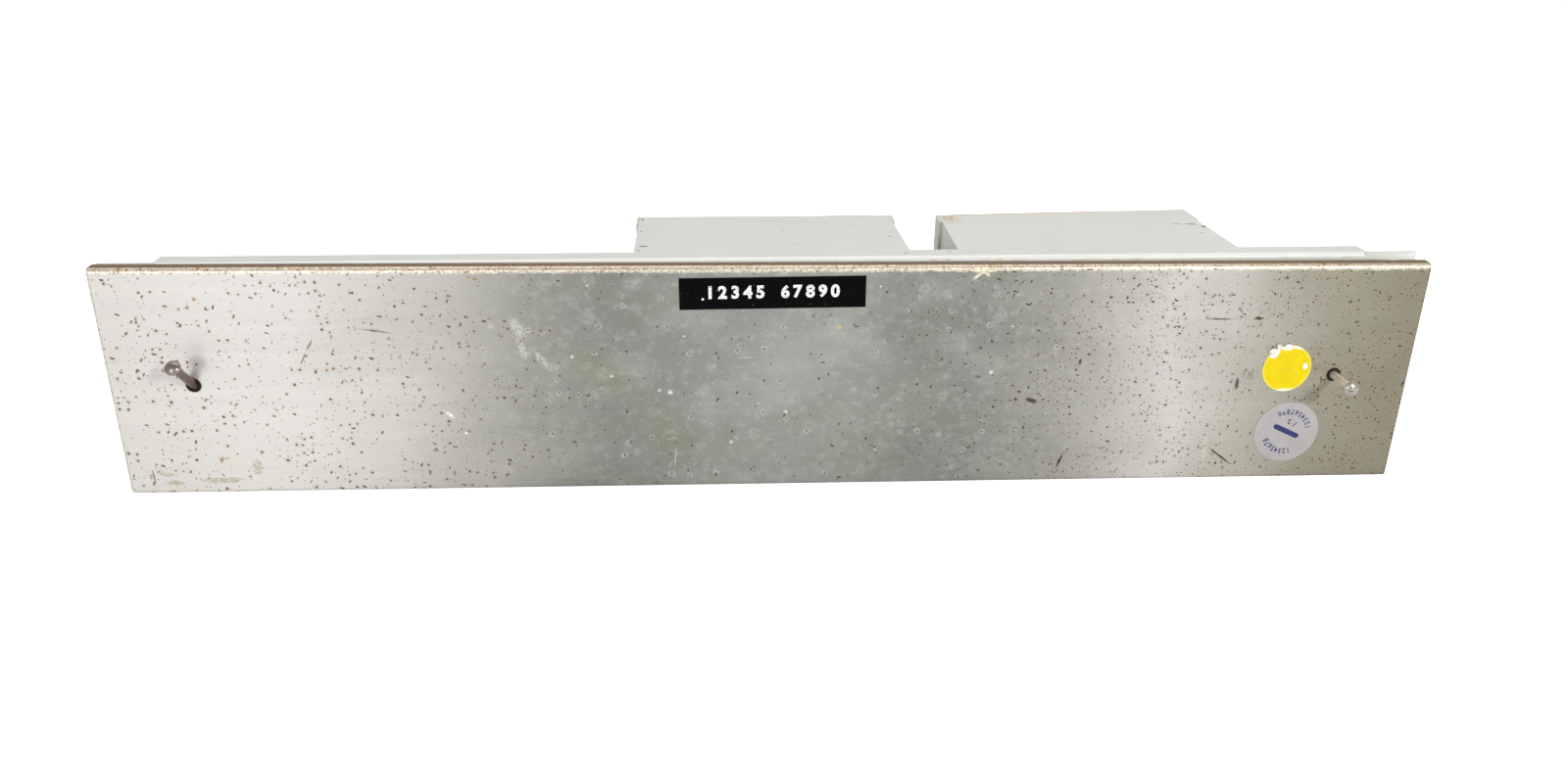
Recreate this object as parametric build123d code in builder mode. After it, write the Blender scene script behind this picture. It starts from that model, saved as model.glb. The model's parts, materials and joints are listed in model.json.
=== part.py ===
"""A 19-inch relay panel, two rack units high, for an equipment rack.

A brushed steel dress cover hangs in front of a painted rack chassis on two captive screws.
Two sheet-metal housings behind the chassis hold four open relays, reached through windows.

Frame: millimetres, +X to the right, -Y to the front, +Z up. The origin is on the surface
that the chassis stands on, in the middle of its width, at the back face of the rack panel.
"""
import os
from math import asin, cos, hypot, radians, sin

from build123d import *

os.makedirs("parts", exist_ok=True)

# Rack chassis
rack_width = 482.6
rack_height = 88.9
panel_thickness = 2.0
pan_width = 444.5
pan_depth = 9.0
pan_bend_radius = 1.8
pan_inner_radius = 0.4
slot_spacing_x = 465.1
slot_spacing_z = 76.2
slot_length = 10.3
slot_width = 7.1
window_height = 67.0
window_radius = 4.0

# Relay housings, in plan: outside faces of the side walls at the front and at the rear edge
sheet = 1.2
lip_width = 7.0
lip_height = 80.0
left_front_x = (-54.4, 48.7)
left_rear_x = (-53.2, 48.1)
left_rear_y = (54.3, 54.3)
left_window_width = 83.0
right_front_x = (66.6, 175.4)
right_rear_x = (68.6, 173.4)
right_rear_y = (54.3, 60.4)
right_window_width = 86.0
rear_cover_sheet = 1.0
rear_cover_flange = 8.5
rear_cover_gap = 0.1
rear_cover_inset = 0.3

# Dress cover, standing off the chassis on its loosened screws
cover_height = 88.1
cover_sheet = 1.2
cover_return = 5.3
cover_bend_radius = 1.8
cover_inner_radius = 0.6
cover_origin = (-0.9, -10.9, 0.5)
cover_swing = -0.8
cover_droop = 0.11
cover_hole_x = 212.0
cover_hole_radius = 2.65

# Label tape and stickers on the cover: centre to the right and up, then size
label_place = (-3.1, 78.2)
label_size = (67.5, 11.9)
label_turn = 0.65
label_thickness = 0.3
dot_place = (193.2, 46.8)
dot_radius = 9.4
tag_place = (197.6, 20.1)
tag_radius = 12.6
sticker_thickness = 0.15

# Captive cover screws; the distance out is from the middle of the cover's sheet to the head
neck_radius = 1.5
neck_length = 20.8
thread_radius = 2.7
thread_root = 2.45
thread_pitch = 0.8
thread_turns = 4
tip_radius = 1.9
head_radius = 2.8
head_taper = 1.3
head_rim = 0.5
head_height = 3.1
driver_slot_width = 0.9
driver_slot_depth = 1.3
washer_radius = 3.6
washer_thickness = 0.6
running_gap = 0.05
right_screw_out = 13.2
left_screw_out = 15.5
left_screw_tilt = 43.0
left_screw_lean = 4.0

# Nuts behind the rack panel, and the slots that the screws reach them through
nut_slot = (22.0, 12.0)
nut_slot_drop = 3.0
strap_width = 14.0
strap_sheet = 1.5
strap_foot = 6.0
strap_reach = 14.5
nut_radius = 4.2
nut_shank_radius = 3.6
nut_length = 3.5
nut_bore = 2.78
rivet_radius = 1.6
rivet_head_radius = 2.6
rivet_head_height = 0.9

# Relay plates on standoffs
plate_y = 40.0
plate_thickness = 1.6
plate_size = (97.0, 76.0)
standoff_place = (45.6, 34.0)
standoff_radius = 3.2
screw_radius = 1.5
screw_head_radius = 2.8
screw_head_height = 2.0
screw_reach = 8.0

# Relays, two in each housing: their heights are measured from the coil's axis
relay_spacing = 48.0
relay_axis_z = 36.0
frame_half_width = 9.0
frame_sheet = 2.0
frame_top = 14.0
frame_foot = -9.0
frame_front_y = 5.8
core_radius = 4.0
pole_radius = 7.0
pole_face_y = 6.6
pole_thickness = 2.0
stud_radius = 2.5
stud_end_y = 46.0
core_nut_radius = 4.5
core_nut_thickness = 3.0
bobbin_front_y = 9.0
bobbin_flange = 1.5
bobbin_radius = 11.0
winding_radius = 10.0
armature_half_width = 8.5
armature_front_y = 3.6
armature_back_y = 5.4
arm_bottom = 14.5
arm_top = 15.8
arm_back_y = 10.0
carrier_half_width = 7.0
carrier_y = (4.0, 9.5)
carrier_top = 22.1
blade_offset = 4.0
blade_width = 3.6
blade_sheet = 0.4
moving_blade_z = 18.8
moving_blade_y = (5.0, 22.0)
button_y = 20.0
button_radius = 1.2
button_reach = 0.5
stack_half_width = 8.0
stack_y = (26.0, 39.5)
stack_top = 26.0
fixed_blade_y = (18.0, 46.5)
lower_blade_z = 17.0
lower_button_top = 18.2
upper_blade_z = 21.1
upper_button_bottom = 20.5
return_leaf_z = 22.6
return_leaf_y = (6.0, 36.0)
return_leaf_width = 3.0
tag_window = (16.0, 9.0)

# Terminal strips, and the grommets that the cables leave through
strip_z = 71.5
strip_size = (72.0, 11.0)
strip_depth = 5.3
strip_terminals = 6
strip_pitch = 9.6
strip_fixing_x = 32.5
barrier_width = 1.2
barrier_height = 2.2
grommet_z = 13.5
grommet_bore = 4.5
grommet_groove = 6.6
grommet_radius = 8.6
grommet_lip = 1.8

# Worked out from the sizes above
mid_height = rack_height / 2
pan_back = pan_depth - panel_thickness
plate_back = plate_y + plate_thickness
left_middle = (left_front_x[0] + left_front_x[1]) / 2
right_middle = (right_front_x[0] + right_front_x[1]) / 2
relay_xs = [middle + side * relay_spacing / 2 for middle in (left_middle, right_middle) for side in (-1, 1)]
strap_middle_z = mid_height - nut_slot_drop
strap_inner = nut_slot[0] / 2 + 0.5
strap_rivet = strap_inner + strap_sheet + strap_foot / 2
strap_rivets = [(side * cover_hole_x, strap_middle_z + end * strap_rivet) for side in (-1, 1) for end in (-1, 1)]
lip_xs = [left_front_x[0] - lip_width / 2, left_front_x[1] + lip_width / 2,
          right_front_x[0] - lip_width / 2, right_front_x[1] + lip_width / 2]
lip_rivets = [(x, mid_height + step) for x in lip_xs for step in (-30, 0, 30)]
standoffs = [(middle + side * standoff_place[0], mid_height + end * standoff_place[1])
             for middle in (left_middle, right_middle) for side in (-1, 1) for end in (-1, 1)]


def upright(y):
    """The plane at depth y, x to the right and z up; positive extrusions come forward."""
    return Plane.XZ.offset(-y)


def block(x, y, z, mode=Mode.ADD):
    """A box between pairs of limits."""
    with Locations(((x[0] + x[1]) / 2, (y[0] + y[1]) / 2, (z[0] + z[1]) / 2)):
        Box(x[1] - x[0], y[1] - y[0], z[1] - z[0], mode=mode)


def rods(places, radius, y, mode=Mode.ADD):
    """Round rods along Y, from one depth to another."""
    with BuildSketch(upright(y[1])) as ends:
        with Locations(*places):
            Circle(radius)
    extrude(ends.sketch, amount=y[1] - y[0], mode=mode)


def save(builder, name):
    """Label a finished piece and write it."""
    builder.part.label = name
    export_step(builder.part, f"parts/{name}.step")


# --- Rack panel ---------------------------------------------------------------------------

def channel(plane, depth, height, thickness, outer_radius, inner_radius, length):
    """A plate with a return along its top and bottom edges, drawn on its end plane."""
    with BuildSketch(plane) as section:
        Rectangle(depth, height, align=(Align.MIN, Align.MIN))
        fillet(section.vertices().group_by(Axis.X)[0], radius=outer_radius)
        with Locations((thickness, thickness)):
            Rectangle(depth, height - 2 * thickness, align=(Align.MIN, Align.MIN), mode=Mode.SUBTRACT)
        inner = section.vertices().filter_by_position(Axis.X, thickness - 0.01, thickness + 0.01)
        fillet(inner, radius=inner_radius)
    extrude(section.sketch, amount=length)


with BuildPart() as rack_panel:
    pan_end = Plane(origin=(-pan_width / 2, -panel_thickness, 0), x_dir=(0, 1, 0), z_dir=(1, 0, 0))
    channel(pan_end, pan_depth, rack_height, panel_thickness, pan_bend_radius, pan_inner_radius, pan_width)
    ear_x = (pan_width / 2 - 1, rack_width / 2)
    block(ear_x, (-panel_thickness, 0), (0, rack_height))
    block((-ear_x[1], -ear_x[0]), (-panel_thickness, 0), (0, rack_height))
    with BuildSketch(upright(0)):
        with Locations((0, mid_height)):
            with GridLocations(slot_spacing_x, slot_spacing_z, 2, 2):
                SlotOverall(slot_length, slot_width)
        with Locations((left_middle, mid_height)):
            RectangleRounded(left_window_width, window_height, window_radius)
        with Locations((right_middle, mid_height)):
            RectangleRounded(right_window_width, window_height, window_radius)
        with Locations((-cover_hole_x, strap_middle_z), (cover_hole_x, strap_middle_z)):
            SlotOverall(*nut_slot, rotation=90)
    extrude(amount=panel_thickness, mode=Mode.SUBTRACT)
    rods(standoffs, screw_radius, (-panel_thickness, 0), Mode.SUBTRACT)
    rods(strap_rivets + lip_rivets, rivet_radius, (-panel_thickness, 0), Mode.SUBTRACT)
save(rack_panel, "rack_panel")


# --- Relay housings and their rear covers ---------------------------------------------------

def housing_plan(front_x, rear_x, rear_y, start_y, grow=0.0):
    """The four corners of a housing in plan, its side walls moved out by grow."""
    left = front_x[0] + (rear_x[0] - front_x[0]) * start_y / rear_y[0] - grow
    right = front_x[1] + (rear_x[1] - front_x[1]) * start_y / rear_y[1] + grow
    step = grow * (rear_y[1] - rear_y[0]) / (rear_x[1] - rear_x[0])
    return [(left, start_y), (right, start_y),
            (rear_x[1] + grow, rear_y[1] + step), (rear_x[0] - grow, rear_y[0] - step)]


def plan_block(corners, z, mode=Mode.ADD):
    """A block standing on a plan outline, between two heights."""
    with BuildSketch(Plane.XY.offset(z[0])) as plan:
        Polygon(*corners, align=None)
    extrude(plan.sketch, amount=z[1] - z[0], mode=mode)


def rear_plane(rear_x, rear_y, z):
    """The plane of a housing's rear edge at height z, its normal to the rear."""
    middle = ((rear_x[0] + rear_x[1]) / 2, (rear_y[0] + rear_y[1]) / 2, z)
    along = Vector(rear_x[1] - rear_x[0], rear_y[1] - rear_y[0], 0).normalized()
    return Plane(origin=middle, x_dir=along, z_dir=Vector(0, 0, 1).cross(along))


def rear_lip_centre(rear_x):
    """How far the middle of a rear lip is from the middle of its housing."""
    return (rear_x[1] - rear_x[0]) / 2 - sheet - lip_width / 2


def rear_fixings(rear_x):
    """Where a rear cover's four screws are on its rear plane."""
    return [(side * rear_lip_centre(rear_x), step) for side in (-1, 1) for step in (-25, 25)]


def make_housing(name, front_x, rear_x, rear_y):
    """A sleeve of folded sheet with outward lips at the front and inward lips at the rear."""
    with BuildPart() as housing:
        plan_block(housing_plan(front_x, rear_x, rear_y, pan_back), (0, rack_height))
        pan_corner = panel_thickness + pan_inner_radius
        under_pan = (pan_corner, rack_height - pan_corner)
        plan_block(housing_plan(front_x, rear_x, rear_y, 0), under_pan)
        room = housing_plan(front_x, rear_x, rear_y, -1, grow=-sheet)
        room[2] = (room[2][0], rear_y[1] + 1)
        room[3] = (room[3][0], rear_y[0] + 1)
        plan_block(room, (sheet, rack_height - sheet), Mode.SUBTRACT)
        for wall_x, side in ((front_x[0], -1), (front_x[1], 1)):
            lip = sorted((wall_x - side * sheet / 2, wall_x + side * lip_width))
            block(lip, (0, sheet), (mid_height - lip_height / 2, mid_height + lip_height / 2))
        with BuildSketch(rear_plane(rear_x, rear_y, mid_height)):
            with Locations((-rear_lip_centre(rear_x), 0), (rear_lip_centre(rear_x), 0)):
                Rectangle(lip_width + sheet, lip_height)
        extrude(amount=-sheet)
        rods(lip_rivets, rivet_radius, (0, sheet), Mode.SUBTRACT)
        with BuildSketch(rear_plane(rear_x, rear_y, mid_height)):
            with Locations(*rear_fixings(rear_x)):
                Circle(screw_radius)
        extrude(amount=-2 * sheet, mode=Mode.SUBTRACT)
    save(housing, name)
    return housing


left_housing = make_housing("left_housing", left_front_x, left_rear_x, left_rear_y)
right_housing = make_housing("right_housing", right_front_x, right_rear_x, right_rear_y)


def make_rear_cover(name, front_x, rear_x, rear_y):
    """A plate over the rear of a housing, with a flange down each side outside its walls."""
    outside = rear_cover_gap + rear_cover_sheet
    start_y = rear_y[0] - rear_cover_flange
    with BuildPart() as cover:
        shell = housing_plan(front_x, rear_x, rear_y, start_y, grow=outside)
        back = rear_cover_sheet * hypot(1, (rear_y[1] - rear_y[0]) / (rear_x[1] - rear_x[0]))
        shell[2:] = [(x, y + back) for x, y in shell[2:]]
        plan_block(shell, (rear_cover_inset, rack_height))
        hollow = housing_plan(front_x, rear_x, rear_y, start_y - 1, grow=rear_cover_gap)
        plan_block(hollow, (0, rack_height), Mode.SUBTRACT)
        with BuildSketch(rear_plane(rear_x, rear_y, mid_height)):
            with Locations(*rear_fixings(rear_x)):
                Circle(screw_radius)
        extrude(amount=2 * rear_cover_sheet, mode=Mode.SUBTRACT)
        with BuildSketch(rear_plane(rear_x, rear_y, grommet_z)):
            Circle(grommet_groove)
        extrude(amount=2 * rear_cover_sheet, mode=Mode.SUBTRACT)
    save(cover, name)
    return cover


left_rear_cover = make_rear_cover("left_rear_cover", left_front_x, left_rear_x, left_rear_y)
right_rear_cover = make_rear_cover("right_rear_cover", right_front_x, right_rear_x, right_rear_y)

with BuildPart() as rear_cover_screws:
    for rear_x, rear_y in ((left_rear_x, left_rear_y), (right_rear_x, right_rear_y)):
        outer_face = rear_plane(rear_x, rear_y, mid_height).offset(rear_cover_sheet)
        with BuildSketch(outer_face):
            with Locations(*rear_fixings(rear_x)):
                Circle(screw_head_radius)
        extrude(amount=screw_head_height)
        with BuildSketch(outer_face):
            with Locations(*rear_fixings(rear_x)):
                Circle(screw_radius)
        extrude(amount=-screw_reach)
save(rear_cover_screws, "rear_cover_screws")


def make_grommet(name, rear_x, rear_y):
    """A rubber ring in the hole of a rear cover."""
    face = rear_plane(rear_x, rear_y, grommet_z)
    with BuildPart() as grommet:
        with BuildSketch(face.offset(-grommet_lip)):
            Circle(grommet_radius)
        extrude(amount=grommet_lip)
        with BuildSketch(face):
            Circle(grommet_groove)
        extrude(amount=rear_cover_sheet)
        with BuildSketch(face.offset(rear_cover_sheet)):
            Circle(grommet_radius)
        extrude(amount=grommet_lip)
        with BuildSketch(face.offset(-grommet_lip)):
            Circle(grommet_bore)
        extrude(amount=2 * grommet_lip + rear_cover_sheet, mode=Mode.SUBTRACT)
    save(grommet, name)
    return grommet


left_grommet = make_grommet("left_cable_grommet", left_rear_x, left_rear_y)
right_grommet = make_grommet("right_cable_grommet", right_rear_x, right_rear_y)


# --- Nuts for the cover screws ----------------------------------------------------------------

for side, name in ((-1, "left_nut_strap"), (1, "right_nut_strap")):
    with BuildPart() as nut_strap:
        strap_x = (side * cover_hole_x - strap_width / 2, side * cover_hole_x + strap_width / 2)
        outer = strap_inner + strap_sheet
        feet = (strap_middle_z - outer - strap_foot, strap_middle_z + outer + strap_foot)
        block(strap_x, (0, strap_sheet), feet)
        block(strap_x, (0, strap_reach), (strap_middle_z - outer, strap_middle_z + outer))
        inside = (strap_middle_z - strap_inner, strap_middle_z + strap_inner)
        block(strap_x, (-1, strap_reach - strap_sheet), inside, Mode.SUBTRACT)
        rods([(side * cover_hole_x, mid_height)], nut_shank_radius, (strap_reach - 2, strap_reach), Mode.SUBTRACT)
        rods(strap_rivets, rivet_radius, (0, strap_sheet), Mode.SUBTRACT)
    save(nut_strap, name)

with BuildPart() as clinch_nuts:
    nut_places = [(-cover_hole_x, mid_height), (cover_hole_x, mid_height)]
    rods(nut_places, nut_shank_radius, (strap_reach - strap_sheet, strap_reach))
    rods(nut_places, nut_radius, (strap_reach, strap_reach + nut_length))
    rods(nut_places, nut_bore, (strap_reach - strap_sheet, strap_reach + nut_length), Mode.SUBTRACT)
save(clinch_nuts, "clinch_nuts")

with BuildPart() as rivets:
    for places, back in ((strap_rivets, strap_sheet), (lip_rivets, sheet)):
        rods(places, rivet_radius, (-panel_thickness, back))
        rods(places, rivet_head_radius, (-panel_thickness - rivet_head_height, -panel_thickness))
        rods(places, rivet_head_radius, (back, back + rivet_head_height))
save(rivets, "rivets")


# --- Relay plates and terminal strips -----------------------------------------------------------

strip_edge = strip_terminals * strip_pitch / 2
terminal_xs = [-strip_edge + (place + 0.5) * strip_pitch for place in range(strip_terminals)]
plate_names = (("left", left_middle, relay_xs[:2]), ("right", right_middle, relay_xs[2:]))

for name, middle, own_relays in plate_names:
    with BuildPart() as relay_plate:
        with BuildSketch(upright(plate_back)):
            with Locations((middle, mid_height)):
                RectangleRounded(*plate_size, 2)
            with Locations(*[(x, relay_axis_z + (lower_blade_z + upper_blade_z) / 2) for x in own_relays]):
                Rectangle(*tag_window, mode=Mode.SUBTRACT)
            with Locations(*[(x, relay_axis_z) for x in own_relays]):
                Circle(stud_radius, mode=Mode.SUBTRACT)
            with Locations(*[place for place in standoffs if abs(place[0] - middle) < 50]):
                Circle(screw_radius, mode=Mode.SUBTRACT)
            with Locations((middle - strip_fixing_x, strip_z), (middle + strip_fixing_x, strip_z)):
                Circle(screw_radius, mode=Mode.SUBTRACT)
        extrude(amount=plate_thickness)
    save(relay_plate, f"{name}_relay_plate")

    with BuildPart() as terminal_strip:
        strip_x = (middle - strip_size[0] / 2, middle + strip_size[0] / 2)
        strip_height = (strip_z - strip_size[1] / 2, strip_z + strip_size[1] / 2)
        block(strip_x, (plate_back, plate_back + strip_depth), strip_height)
        for place in range(strip_terminals + 1):
            barrier = middle - strip_edge + place * strip_pitch
            barrier_x = (barrier - barrier_width / 2, barrier + barrier_width / 2)
            block(barrier_x, (plate_back, plate_back + strip_depth + barrier_height), strip_height)
        holes = [(middle + x, strip_z) for x in terminal_xs + [-strip_fixing_x, strip_fixing_x]]
        rods(holes, screw_radius, (plate_back, plate_back + strip_depth), Mode.SUBTRACT)
    save(terminal_strip, f"{name}_terminal_strip")

with BuildPart() as terminal_screws:
    strip_back = plate_back + strip_depth
    for middle in (left_middle, right_middle):
        places = [(middle + x, strip_z) for x in terminal_xs]
        fixings = [(middle - strip_fixing_x, strip_z), (middle + strip_fixing_x, strip_z)]
        rods(places + fixings, screw_head_radius, (strip_back, strip_back + screw_head_height))
        rods(places, screw_radius, (plate_back, strip_back))
        rods(fixings, screw_radius, (plate_y, strip_back))
save(terminal_screws, "terminal_screws")

with BuildPart() as plate_standoffs:
    with BuildSketch(upright(plate_y)):
        with Locations(*standoffs):
            RegularPolygon(standoff_radius, 6)
            Circle(screw_radius, mode=Mode.SUBTRACT)
    extrude(amount=plate_y)
save(plate_standoffs, "plate_standoffs")

with BuildPart() as plate_screws:
    rods(standoffs, screw_head_radius, (-panel_thickness - screw_head_height, -panel_thickness))
    rods(standoffs, screw_radius, (-panel_thickness, screw_reach))
    rods(standoffs, screw_head_radius, (plate_back, plate_back + screw_head_height))
    rods(standoffs, screw_radius, (plate_y - screw_reach, plate_back))
save(plate_screws, "plate_screws")

with BuildPart() as core_nuts:
    with BuildSketch(upright(plate_back + core_nut_thickness)):
        with Locations(*[(x, relay_axis_z) for x in relay_xs]):
            RegularPolygon(core_nut_radius, 6)
            Circle(stud_radius, mode=Mode.SUBTRACT)
    extrude(amount=core_nut_thickness)
save(core_nuts, "core_nuts")


# --- Relays ---------------------------------------------------------------------------------------

def leaf(x, width, y, z, mode=Mode.ADD):
    """A flat spring along Y, centred on x, its lower face at z above the coil's axis."""
    low = relay_axis_z + z
    block((x - width / 2, x + width / 2), y, (low, low + blade_sheet), mode)


def button(x, low, high):
    """A round contact on a vertical axis, between two heights above the coil's axis."""
    with BuildSketch(Plane.XY.offset(relay_axis_z + low)) as contact:
        with Locations((x, button_y)):
            Circle(button_radius)
    extrude(contact.sketch, amount=high - low)


for number, relay_x in enumerate(relay_xs, start=1):
    relay = f"relay_{number}"
    axis = [(relay_x, relay_axis_z)]
    leaves = (relay_x - blade_offset, relay_x + blade_offset)

    with BuildPart() as relay_frame:
        frame_x = (relay_x - frame_half_width, relay_x + frame_half_width)
        top = (relay_axis_z + frame_top - frame_sheet, relay_axis_z + frame_top)
        block(frame_x, (frame_front_y, plate_y), top)
        block(frame_x, (plate_y - frame_sheet, plate_y), (relay_axis_z + frame_foot, top[1]))
        rods(axis, stud_radius, (plate_y - frame_sheet, plate_y), Mode.SUBTRACT)
    save(relay_frame, f"{relay}_frame")

    with BuildPart() as relay_core:
        rods(axis, pole_radius, (pole_face_y, pole_face_y + pole_thickness))
        rods(axis, core_radius, (pole_face_y, plate_y - frame_sheet))
        rods(axis, stud_radius, (plate_y - frame_sheet, stud_end_y))
    save(relay_core, f"{relay}_core")

    with BuildPart() as relay_coil:
        bobbin_back_y = plate_y - frame_sheet
        rods(axis, winding_radius, (bobbin_front_y, bobbin_back_y))
        rods(axis, bobbin_radius, (bobbin_front_y, bobbin_front_y + bobbin_flange))
        rods(axis, bobbin_radius, (bobbin_back_y - bobbin_flange, bobbin_back_y))
        rods(axis, core_radius, (bobbin_front_y, bobbin_back_y), Mode.SUBTRACT)
    save(relay_coil, f"{relay}_coil")

    with BuildPart() as contact_block:
        stack_x = (relay_x - stack_half_width, relay_x + stack_half_width)
        block(stack_x, stack_y, (relay_axis_z + frame_top, relay_axis_z + stack_top))
        for leaf_x in leaves:
            leaf(leaf_x, blade_width, stack_y, lower_blade_z, Mode.SUBTRACT)
            leaf(leaf_x, blade_width, stack_y, upper_blade_z, Mode.SUBTRACT)
        leaf(relay_x, return_leaf_width, (stack_y[0], return_leaf_y[1]), return_leaf_z, Mode.SUBTRACT)
    save(contact_block, f"{relay}_contact_block")

    with BuildPart() as spring_set:
        for leaf_x in leaves:
            leaf(leaf_x, blade_width, fixed_blade_y, lower_blade_z)
            button(leaf_x, lower_blade_z, lower_button_top)
            leaf(leaf_x, blade_width, fixed_blade_y, upper_blade_z)
            button(leaf_x, upper_button_bottom, upper_blade_z)
        leaf(relay_x, return_leaf_width, return_leaf_y, return_leaf_z)
    save(spring_set, f"{relay}_spring_set")

    with BuildPart() as armature:
        armature_x = (relay_x - armature_half_width, relay_x + armature_half_width)
        face_z = (relay_axis_z + frame_foot, relay_axis_z + arm_top)
        block(armature_x, (armature_front_y, armature_back_y), face_z)
        block(armature_x, (armature_front_y, arm_back_y), (relay_axis_z + arm_bottom, relay_axis_z + arm_top))
    save(armature, f"{relay}_armature")

    with BuildPart() as contact_carrier:
        carrier_x = (relay_x - carrier_half_width, relay_x + carrier_half_width)
        block(carrier_x, carrier_y, (relay_axis_z + arm_top, relay_axis_z + carrier_top))
        for leaf_x in leaves:
            leaf(leaf_x, blade_width, (moving_blade_y[0], carrier_y[1]), moving_blade_z, Mode.SUBTRACT)
    save(contact_carrier, f"{relay}_contact_carrier")

    with BuildPart() as moving_contacts:
        for leaf_x in leaves:
            leaf(leaf_x, blade_width, moving_blade_y, moving_blade_z)
            blade_top = moving_blade_z + blade_sheet
            button(leaf_x, moving_blade_z - button_reach, blade_top + button_reach)
    save(moving_contacts, f"{relay}_moving_contacts")


# --- Dress cover ------------------------------------------------------------------------------------

cover_right = Vector(1, 0, 0).rotate(Axis.Z, cover_swing).rotate(Axis.Y, cover_droop)
cover_front = Vector(0, -1, 0).rotate(Axis.Z, cover_swing)
cover_face = Plane(origin=cover_origin, x_dir=cover_right, z_dir=cover_front)
hole_z = cover_height / 2

with BuildPart() as front_cover:
    cover_corner = cover_face.from_local_coords((-rack_width / 2, 0, 0))
    cover_end = Plane(origin=cover_corner, x_dir=cover_front * -1, z_dir=cover_right)
    channel(cover_end, cover_return, cover_height, cover_sheet, cover_bend_radius, cover_inner_radius, rack_width)
    with BuildSketch(cover_face):
        with Locations((-cover_hole_x, hole_z), (cover_hole_x, hole_z)):
            Circle(cover_hole_radius)
    extrude(amount=-cover_sheet, mode=Mode.SUBTRACT)
save(front_cover, "front_cover")

with BuildPart() as label_tape:
    with BuildSketch(cover_face):
        with Locations(label_place):
            Rectangle(*label_size, rotation=label_turn)
    extrude(amount=label_thickness)
save(label_tape, "label_tape")

for name, place, radius in (("dot_sticker", dot_place, dot_radius), ("tag_sticker", tag_place, tag_radius)):
    with BuildPart() as sticker:
        with BuildSketch(cover_face):
            with Locations(place):
                Circle(radius)
        extrude(amount=sticker_thickness)
    save(sticker, name)


# --- Captive cover screws ----------------------------------------------------------------------------

def make_screw(name, pivot, outward, across, out):
    """A slotted screw with a reduced neck, its head at a distance from the pivot."""
    section_plane = Plane(origin=pivot, x_dir=across, z_dir=across.cross(outward))
    root_end = out - neck_length - (thread_root - neck_radius)
    thread_end = root_end - thread_turns * thread_pitch
    outline = [(0, thread_end - (thread_root - tip_radius)), (tip_radius, thread_end - (thread_root - tip_radius))]
    for turn in range(thread_turns):
        outline.append((thread_root, thread_end + turn * thread_pitch))
        outline.append((thread_radius, thread_end + (turn + 0.5) * thread_pitch))
    outline.append((thread_root, root_end))
    outline.append((neck_radius, out - neck_length))
    outline.append((neck_radius, out))
    outline.append((head_radius, out + head_taper))
    outline.append((head_radius, out + head_taper + head_rim))
    dome = head_height - head_taper - head_rim
    dome_radius = (head_radius ** 2 + dome ** 2) / (2 * dome)
    half_angle = asin(head_radius / dome_radius) / 2
    dome_centre = out + head_height - dome_radius
    dome_middle = (dome_radius * sin(half_angle), dome_centre + dome_radius * cos(half_angle))
    with BuildPart() as screw:
        with BuildSketch(section_plane):
            with BuildLine():
                Polyline(*outline)
                ThreePointArc(outline[-1], dome_middle, (0, out + head_height))
                Line((0, out + head_height), outline[0])
            make_face()
        revolve(axis=Axis(pivot, outward))
        with BuildSketch(Plane(origin=pivot + outward * (out + head_height), x_dir=across, z_dir=outward)):
            Rectangle(2 * head_radius + 1, driver_slot_width)
        extrude(amount=-driver_slot_depth, mode=Mode.SUBTRACT)
    save(screw, name)
    return screw


def make_washer(name, pivot, outward, across, out):
    """A loose washer on the neck of a screw, behind the cover."""
    start = out - neck_length + washer_thickness / 3
    with BuildPart() as washer:
        with BuildSketch(Plane(origin=pivot + outward * start, x_dir=across, z_dir=outward)):
            Circle(washer_radius)
            Circle(neck_radius + running_gap, mode=Mode.SUBTRACT)
        extrude(amount=washer_thickness)
    save(washer, name)
    return washer


left_pivot = cover_face.from_local_coords((-cover_hole_x, hole_z, -cover_sheet / 2))
right_pivot = cover_face.from_local_coords((cover_hole_x, hole_z, -cover_sheet / 2))
left_aim = (-sin(radians(left_screw_lean)) * cos(radians(left_screw_tilt)), sin(radians(left_screw_tilt)),
            cos(radians(left_screw_lean)) * cos(radians(left_screw_tilt)))
left_outward = (cover_face.from_local_coords(left_aim) - cover_face.origin).normalized()
left_across = cover_face.y_dir.cross(left_outward).normalized()
screw_places = (("left", left_pivot, left_outward, left_across, left_screw_out),
                ("right", right_pivot, cover_face.z_dir, cover_face.x_dir, right_screw_out))

for side, pivot, outward, across, out in screw_places:
    make_screw(f"{side}_cover_screw", pivot, outward, across, out)
    make_washer(f"{side}_retaining_washer", pivot, outward, across, out)
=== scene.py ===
"""The looks of the relay panel: finishes, label lettering, marks and rust, light and camera.

What is on the dress cover is placed in the cover's own frame, in millimetres: to the right of its
middle, up from its lower edge and out from its face.
"""
import json
import math
import random
from types import SimpleNamespace

import bmesh
import bpy
from mathutils import Matrix, Vector


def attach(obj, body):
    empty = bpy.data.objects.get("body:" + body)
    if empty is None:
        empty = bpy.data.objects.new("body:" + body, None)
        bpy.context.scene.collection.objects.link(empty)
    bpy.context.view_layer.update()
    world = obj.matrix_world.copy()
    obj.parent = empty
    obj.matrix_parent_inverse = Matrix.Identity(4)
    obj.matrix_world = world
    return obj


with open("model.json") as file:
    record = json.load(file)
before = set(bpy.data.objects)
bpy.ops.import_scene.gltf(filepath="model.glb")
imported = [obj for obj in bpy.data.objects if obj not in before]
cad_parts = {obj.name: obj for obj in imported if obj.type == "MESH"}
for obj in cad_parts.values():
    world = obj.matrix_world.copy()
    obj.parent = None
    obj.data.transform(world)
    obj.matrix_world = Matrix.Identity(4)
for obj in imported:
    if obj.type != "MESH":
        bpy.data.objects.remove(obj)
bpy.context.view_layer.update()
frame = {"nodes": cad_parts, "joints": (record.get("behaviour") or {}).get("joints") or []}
nodes = frame["nodes"]
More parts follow.
